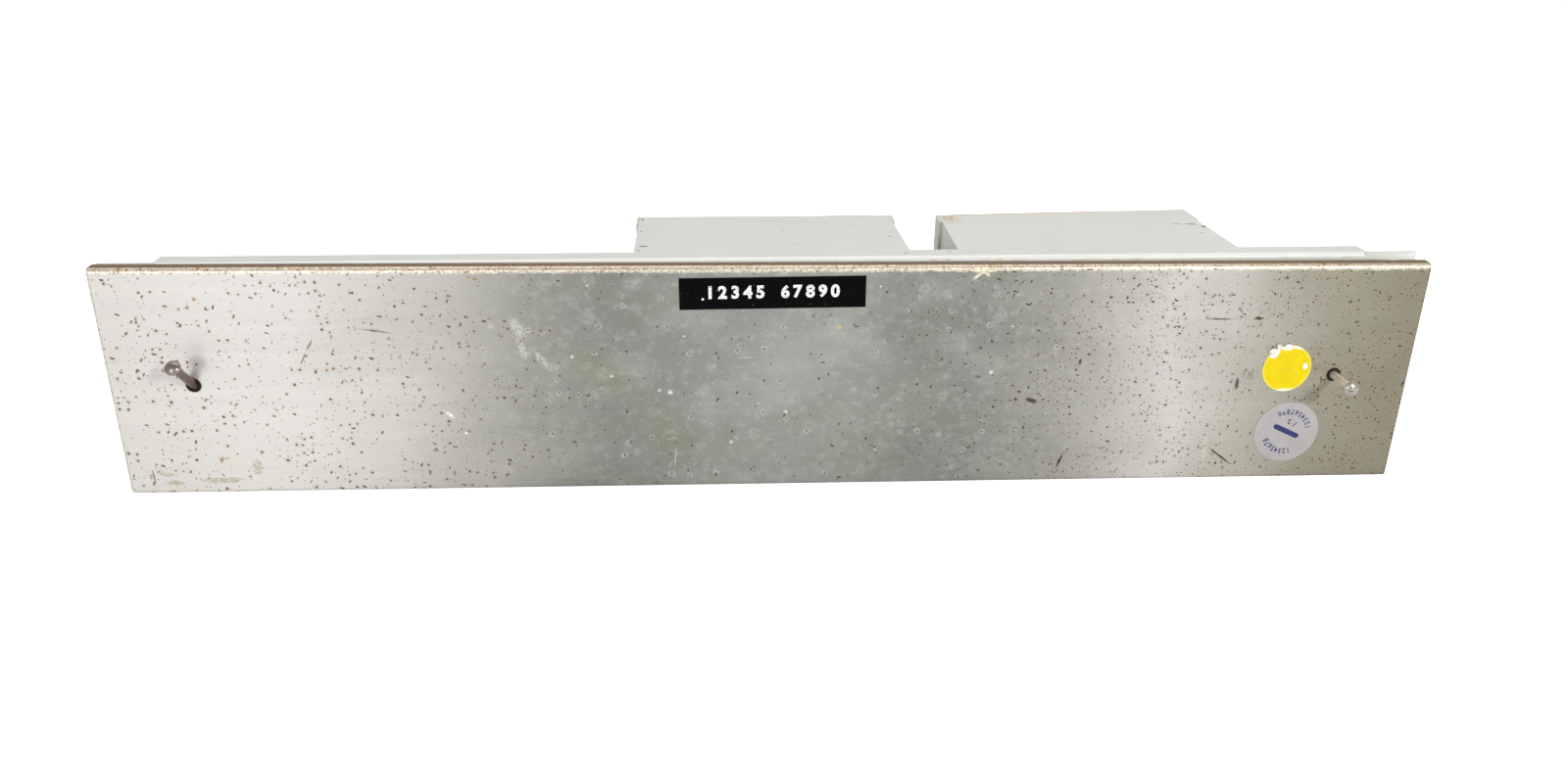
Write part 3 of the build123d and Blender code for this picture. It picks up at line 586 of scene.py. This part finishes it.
# Painted light and shade: the colours are set per screw, the right one's shaft near white as if lit
# and the left one's darker, giving lit and shaded copies of one steel.
wear(screw_finish("left", rgb(150, 138, 132), rgb(132, 114, 104), rgb(98, 74, 62), LEFT_HEAD_AT),
     "left_cover_screw")
wear(screw_finish("right", rgb(180, 178, 168), rgb(238, 230, 224), rgb(230, 218, 210),
                  RIGHT_HEAD_AT), "right_cover_screw")
wear(plain_metal("dark_washer", rgb(30, 24, 20), 0.7, metallic=0.2),
     "left_retaining_washer", "right_retaining_washer")
wear(plain_metal("plated_steel", rgb(176, 174, 168), 0.36),
     "left_nut_strap", "right_nut_strap", "clinch_nuts", "rivets", "rear_cover_screws",
     "plate_screws", "plate_standoffs", "terminal_screws", "core_nuts")
wear(plain_plastic("grommet_rubber", rgb(34, 33, 32), 0.6),
     "left_cable_grommet", "right_cable_grommet")
wear(plain_plastic("relay_board", rgb(120, 84, 48), 0.5, size=(14, 14, 1.2)),
     "left_relay_plate", "right_relay_plate")
wear(plain_plastic("strip_plastic", rgb(38, 36, 34), 0.45),
     "left_terminal_strip", "right_terminal_strip")

for relay_finish, relay_parts in (
        (plain_metal("core_iron", rgb(160, 158, 152), 0.34), ("frame", "core", "armature")),
        (plain_plastic("winding", rgb(150, 74, 38), 0.4, size=(9, 0.45, 9), depth=0.06), ("coil",)),
        (plain_metal("contact_brass", rgb(206, 176, 112), 0.28), ("spring_set", "moving_contacts")),
        (plain_plastic("insulator", rgb(172, 138, 92), 0.5, size=(6, 6, 0.8)),
         ("contact_block", "contact_carrier"))):
    for number in (1, 2, 3, 4):
        wear(relay_finish, *[f"relay_{number}_{part}" for part in relay_parts])


# --- Making pieces on the cover ------------------------------------------------------------------

CHARACTER_DEPTH = 0.02
LETTER_BEVEL = 0.012


def piece(name, mesh, matrix, finish):
    """A new object in place, in its finish, riding on the cover."""
    thing = bpy.data.objects.new(name, mesh)
    scene.collection.objects.link(thing)
    mesh.transform(matrix)
    mesh.materials.append(finish.material)
    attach(thing, "cover")


def finished_mesh(name, made):
    """A bmesh's result, by name."""
    mesh = bpy.data.meshes.new(name)
    made.to_mesh(mesh)
    made.free()
    return mesh


def character_mesh(name, text, height, bold, bevel):
    """One character's mesh, its lower left corner at the origin, its width and its depth."""
    curve = bpy.data.curves.new(name, "FONT")
    curve.body = text
    curve.offset = bold
    curve.extrude = CHARACTER_DEPTH
    curve.bevel_depth = bevel
    curve.bevel_resolution = 2
    curve.resolution_u = 6
    maker = bpy.data.objects.new(name, curve)
    scene.collection.objects.link(maker)
    bpy.context.view_layer.update()
    shown = maker.evaluated_get(bpy.context.evaluated_depsgraph_get())
    mesh = bpy.data.meshes.new_from_object(shown)
    bpy.data.objects.remove(maker)
    low = [min(v.co[i] for v in mesh.vertices) for i in range(3)]
    high = [max(v.co[i] for v in mesh.vertices) for i in range(3)]
    size = height / (high[1] - low[1])
    mesh.transform(Matrix.Diagonal((size, size, 1.0, 1.0))
                   @ Matrix.Translation((-low[0], -low[1], -low[2])))
    return mesh, (high[0] - low[0]) * size, high[2] - low[2]


def join_meshes(name, parts):
    joined = bmesh.new()
    for mesh in parts:
        joined.from_mesh(mesh)
    return finished_mesh(name, joined)


def raised_line(name, text, start, pitch, height, thickness, bold, lift, matrix, finish):
    """A line of raised characters, each cell one pitch wide, on the cover."""
    parts = []
    for cell, letter in enumerate(text):
        if letter == " ":
            continue
        mesh, width, deep = character_mesh(f"{name}_{cell}", letter, height, bold, LETTER_BEVEL)
        along = start + cell * pitch + (pitch - width) / 2
        mesh.transform(Matrix.Translation((along, 0, lift))
                       @ Matrix.Diagonal((1.0, 1.0, thickness / deep, 1.0)))
        parts.append(mesh)
    piece(name, join_meshes(name, parts), matrix, finish)


# --- Label tape: black, with embossed white characters -------------------------------------------

LABEL_TOP = 0.3


def label_finish():
    f = Finish("label_black")
    place, _ = cover_place(f)
    dust = f.specks(f.wander(place, 1.0, 0.8), 2.6, 0.28, 0.22, seed=5.0)
    colour = f.over(rgb(4, 5, 5), (110, 110, 110), dust, 0.5)
    colour = f.over(colour, (240, 240, 238), f.mark(place, (-28.4, 75.9), (0.55, 0.55)))
    f.set(Base_Color=colour, Roughness=0.3, Specular_IOR_Level=0.05,
          Normal=f.bump(f.noise(place, 3.0, detail=2, seed=2.0), 0.02, 0.5))
    return f


def embossed_finish():
    """White, stressed plastic of the embossed characters."""
    f = Finish("embossed_white")
    place = f.place()
    worn = f.patches(place, 0.55, 0.34, 0.5, detail=3, roughness=0.7, seed=4.0)
    f.set(Base_Color=f.mix(worn, rgb(120, 120, 118), rgb(252, 252, 250)), Roughness=0.45,
          Normal=f.bump(f.noise(place, 0.3, seed=1.0), 0.04, 0.6))
    return f


wear(label_finish(), "label_tape")
raised_line("label_characters", "12345 67890", start=-24.9, pitch=4.52, height=4.9,
            thickness=0.34, bold=0.028, lift=-0.02,
            matrix=cover_matrix(-3.1, 78.2, LABEL_TOP, 0.65) @ Matrix.Translation((0, -1.9, 0)),
            finish=embossed_finish())


# --- Yellow sticker: torn at the top, with white paper showing and scraps standing up ------------

# Torn places: centre, size, turn and softness
TORN_MARKS = [
    ((191.6, 55.6), (3.4, 1.5), -6, 0.25), ((187.2, 53.2), (2.6, 2.2), 40, 0.25),
    ((200.2, 47.6), (1.0, 1.5), -8, 0.3), ((193.4, 37.4), (6.0, 1.1), 0, 0.3),
    ((196.5, 55.2), (2.6, 0.8), -18, 0.4),
]


def yellow_finish():
    f = Finish("dot_yellow")
    place, _ = cover_place(f)
    near = f.wander(place, 1.3, 1.1, seed=8.0)
    colour = f.mix(f.patches(place, 5, 0.3, 0.7, detail=3), rgb(222, 196, 0), rgb(232, 208, 0))
    torn = f.most(*[f.mark(near, *mark) for mark in TORN_MARKS])
    colour = f.over(colour, (244, 242, 232), torn)
    # Painted shade: dark olive specks in the crumpled corner stand for shade in the paper's
    # creases.
    crease_shade = f.specks(near, 1.6, 0.45, 0.4, seed=3.0)
    creased = f.mark(place, (187.8, 54.0), (3.6, 3.0), 0, 0.5)
    colour = f.over(colour, (150, 138, 60), crease_shade, creased, 0.8)
    rim = f.span(f.mark(place, DOT_CENTRE, (DOT_RADIUS, DOT_RADIUS), 0, 0.12), 0.9, 0.2)
    colour = f.over(colour, (255, 248, 150), rim, 0.35)
    f.set(Base_Color=colour, Roughness=0.5, Specular_IOR_Level=0.2,
          Normal=f.bump(f.noise(place, 1.6, detail=3, seed=6.0), 0.12, 0.5))
    return f


def faint_finish():
    """Faded ink of the yellow sticker's digits."""
    f = Finish("dot_digits")
    shade = f.patches(f.place(), 0.6, 0.3, 0.7, 0.8, 1.15, seed=2.0)
    f.set(Base_Color=f.scale(rgb(216, 200, 20), shade), Roughness=0.6)
    return f


def scrap_finish():
    f = Finish("torn_paper")
    place = f.place()
    dirt = f.patches(place, 1.1, 0.42, 0.62, detail=3, seed=2.0)
    f.set(Base_Color=f.mix(dirt, rgb(246, 244, 236), rgb(206, 200, 168)), Roughness=0.7,
          Normal=f.bump(f.noise(place, 0.5, detail=3, seed=2.0), 0.1, 0.6))
    return f


def flake(name, centre, turn, size, lift, seed, finish):
    """A crumpled scrap of sticker paper that stands off the cover."""
    grid, outline, paper = 14, 16, 0.08
    rng = random.Random(seed)
    made = bmesh.new()
    bmesh.ops.create_grid(made, x_segments=grid, y_segments=grid, size=0.5)
    waves = [(rng.uniform(-9, 9), rng.uniform(-9, 9), rng.uniform(0, 6), rng.uniform(0.2, 1.0))
             for _ in range(6)]
    ragged = [rng.uniform(0.72, 1.0) for _ in range(outline)]
    for vertex in made.verts:
        x, y = vertex.co.x, vertex.co.y
        reach = max(abs(x), abs(y)) * 2
        share = (math.atan2(y, x) / (2 * math.pi) + 1) % 1 * outline
        first, past = int(share), share % 1
        edge = ragged[first % outline] * (1 - past) + ragged[(first + 1) % outline] * past
        height = sum(a * math.sin(kx * x + ky * y + p) for kx, ky, p, a in waves) / 3
        vertex.co.z = lift * (0.5 + 0.5 * height) * (0.35 + 0.65 * reach)
        if reach > 0:
            round_off = reach / 2 / math.hypot(x, y)
            vertex.co.x = x * round_off * edge * size[0] * 2
            vertex.co.y = y * round_off * edge * size[1] * 2
    bmesh.ops.solidify(made, geom=made.faces[:], thickness=paper)
    mesh = finished_mesh(name, made)
    for polygon in mesh.polygons:
        polygon.use_smooth = True
    piece(name, mesh, cover_matrix(*centre, 0.2, turn), finish)


wear(yellow_finish(), "dot_sticker")
raised_line("dot_digits", "14", start=-3.3, pitch=3.3, height=3.7, thickness=0.05, bold=-0.012,
            lift=0.14, matrix=cover_matrix(193.0, 44.8, 0, -3), finish=faint_finish())
scrap = scrap_finish()
flake("torn_scrap_1", (186.6, 54.0), 20, (1.9, 1.2), 0.9, 3, scrap)
flake("torn_scrap_2", (188.6, 55.9), -35, (1.4, 0.9), 0.8, 8, scrap)
flake("torn_scrap_3", (192.2, 56.0), 4, (2.0, 0.8), 0.5, 13, scrap)


# --- Pale property sticker: plain digits and a plain bar in place of its printing ----------------

tag_matrix = cover_matrix(*TAG_CENTRE, 0.15, 155)


def lilac_finish():
    f = Finish("tag_lilac")
    place, _ = cover_place(f)
    cloud = f.patches(place, 7, 0.3, 0.7, detail=4, seed=5.0)
    colour = f.mix(cloud, rgb(166, 162, 162), rgb(178, 174, 174))
    rim = f.span(f.mark(place, TAG_CENTRE, (TAG_RADIUS, TAG_RADIUS), 0, 0.1), 0.9, 0.2)
    f.set(Base_Color=f.over(colour, (176, 170, 172), rim, 0.4), Roughness=0.42,
          Normal=f.bump(f.noise(place, 1.2, detail=3, seed=6.0), 0.05, 0.4))
    return f


def ink_finish():
    f = Finish("tag_ink")
    uneven = f.patches(f.place(), 0.8, 0.35, 0.6, detail=3)
    f.set(Base_Color=f.mix(uneven, rgb(48, 58, 116), rgb(24, 34, 92)), Roughness=0.5)
    return f


def bar_mesh(name, centre, length, height, thickness):
    """A thin bar with rounded ends, in millimetres."""
    made = bmesh.new()
    ring = []
    for start, side in ((0, 1), (180, -1)):
        for step in range(-3, 4):
            angle = math.radians(start + step * 30)
            along = side * (length - height) / 2 + math.cos(angle) * height / 2
            across = math.sin(angle) * height / 2
            ring.append(made.verts.new((centre[0] + along, centre[1] + across, 0)))
    grown = bmesh.ops.extrude_face_region(made, geom=[made.faces.new(ring)])
    for item in grown["geom"]:
        if isinstance(item, bmesh.types.BMVert):
            item.co.z += thickness
    bmesh.ops.recalc_face_normals(made, faces=made.faces[:])
    return finished_mesh(name, made)


def digits_round(name, text, radius, middle, step, height, inward, finish):
    """Flat printed digits along an arc, their feet away from its centre or towards it."""
    narrow = Matrix.Diagonal((0.85, 1, 0.5, 1))
    parts = []
    for cell, letter in enumerate(text):
        mesh, width, _ = character_mesh(f"{name}_{cell}", letter, height, 0.02, 0.0)
        angle = math.radians(middle + (cell - (len(text) - 1) / 2) * (step if inward else -step))
        lean = angle + math.pi / 2 if inward else angle - math.pi / 2
        mesh.transform(Matrix.Rotation(lean, 4, "Z") @ narrow
                       @ Matrix.Translation((-width / 2, -height / 2, 0)))
        mesh.transform(Matrix.Translation((math.cos(angle) * radius, math.sin(angle) * radius, 0)))
        parts.append(mesh)
    piece(name, join_meshes(name, parts), tag_matrix, finish)


wear(lilac_finish(), "tag_sticker")
ink = ink_finish()
piece("tag_bar", bar_mesh("tag_bar", (0.2, -0.2), 11.6, 2.1, 0.02), tag_matrix, ink)
digits_round("tag_upper_digits", "12345678", 8.3, 90, 11.5, 2.3, False, ink)
digits_round("tag_lower_digits", "1234567890", 8.5, -90, 11.5, 2.2, True, ink)
digits_round("tag_middle_digits", "12", 4.3, -90, 36, 2.1, True, ink)


# --- Floor, light and camera ---------------------------------------------------------------------

FLOOR_SIZE = 24
FLOOR_GLOW = 0.85
WORLD_LIGHT = 0.2
WORLD_SEEN = 0.95
CAMERA_PLACE = (-0.03404, -0.4333, 0.22356)
CAMERA_LENS = 28.416
CAMERA_TURN = -4.694
CAMERA_DOWN = 22.936
CAMERA_ROLL = 0.870

bpy.ops.mesh.primitive_plane_add(size=FLOOR_SIZE)
floor = bpy.context.object
floor.name = "floor"
white = Finish("floor_white")
seen = white.node("ShaderNodeLightPath").outputs["Is Camera Ray"]
white.set(Base_Color=(0.92, 0.92, 0.92), Roughness=0.9, Emission_Color=(1.0, 1.0, 1.0),
          Emission_Strength=white.product(seen, FLOOR_GLOW))
floor.data.materials.append(white.material)

world = bpy.data.worlds.new("studio")
scene.world = world
world.use_nodes = True
world_tree = world.node_tree
background = world_tree.nodes["Background"]
background.inputs["Color"].default_value = (1.0, 1.0, 1.0, 1.0)
light_path = world_tree.nodes.new("ShaderNodeLightPath")
strength = world_tree.nodes.new("ShaderNodeMapRange")
strength.inputs["To Min"].default_value = WORLD_LIGHT
strength.inputs["To Max"].default_value = WORLD_SEEN
world_tree.links.new(light_path.outputs["Is Camera Ray"], strength.inputs["Value"])
world_tree.links.new(strength.outputs["Result"], background.inputs["Strength"])


def soft_light(name, place, aim, size, power):
    data = bpy.data.lights.new(name, "AREA")
    data.shape = "RECTANGLE"
    data.size, data.size_y = size
    data.energy = power
    light = bpy.data.objects.new(name, data)
    light.location = place
    light.rotation_euler = (Vector(aim) - Vector(place)).to_track_quat("-Z", "Y").to_euler()
    scene.collection.objects.link(light)


soft_light("left_light", (-0.55, -0.95, 0.30), (-0.15, 0, 0.04), (0.24, 0.24), 3.6)
soft_light("right_light", (0.60, -0.89, 0.575), (0.10, 0, 0.04), (0.12, 0.12), 7.6)
soft_light("top_light", (0.0, 0.35, 1.1), (0, 0, 0.05), (1.2, 0.7), 7.5)

camera_data = bpy.data.cameras.new("camera")
camera_data.lens = CAMERA_LENS
camera_data.sensor_width = 36.0
camera_data.clip_start = 0.01
camera = bpy.data.objects.new("camera", camera_data)
camera.location = CAMERA_PLACE
camera.rotation_euler = (Matrix.Rotation(math.radians(CAMERA_TURN), 3, "Z")
                         @ Matrix.Rotation(math.radians(90 - CAMERA_DOWN), 3, "X")
                         @ Matrix.Rotation(math.radians(CAMERA_ROLL), 3, "Z")).to_euler()
scene.collection.objects.link(camera)
scene.camera = camera
scene.view_settings.view_transform = "Standard"
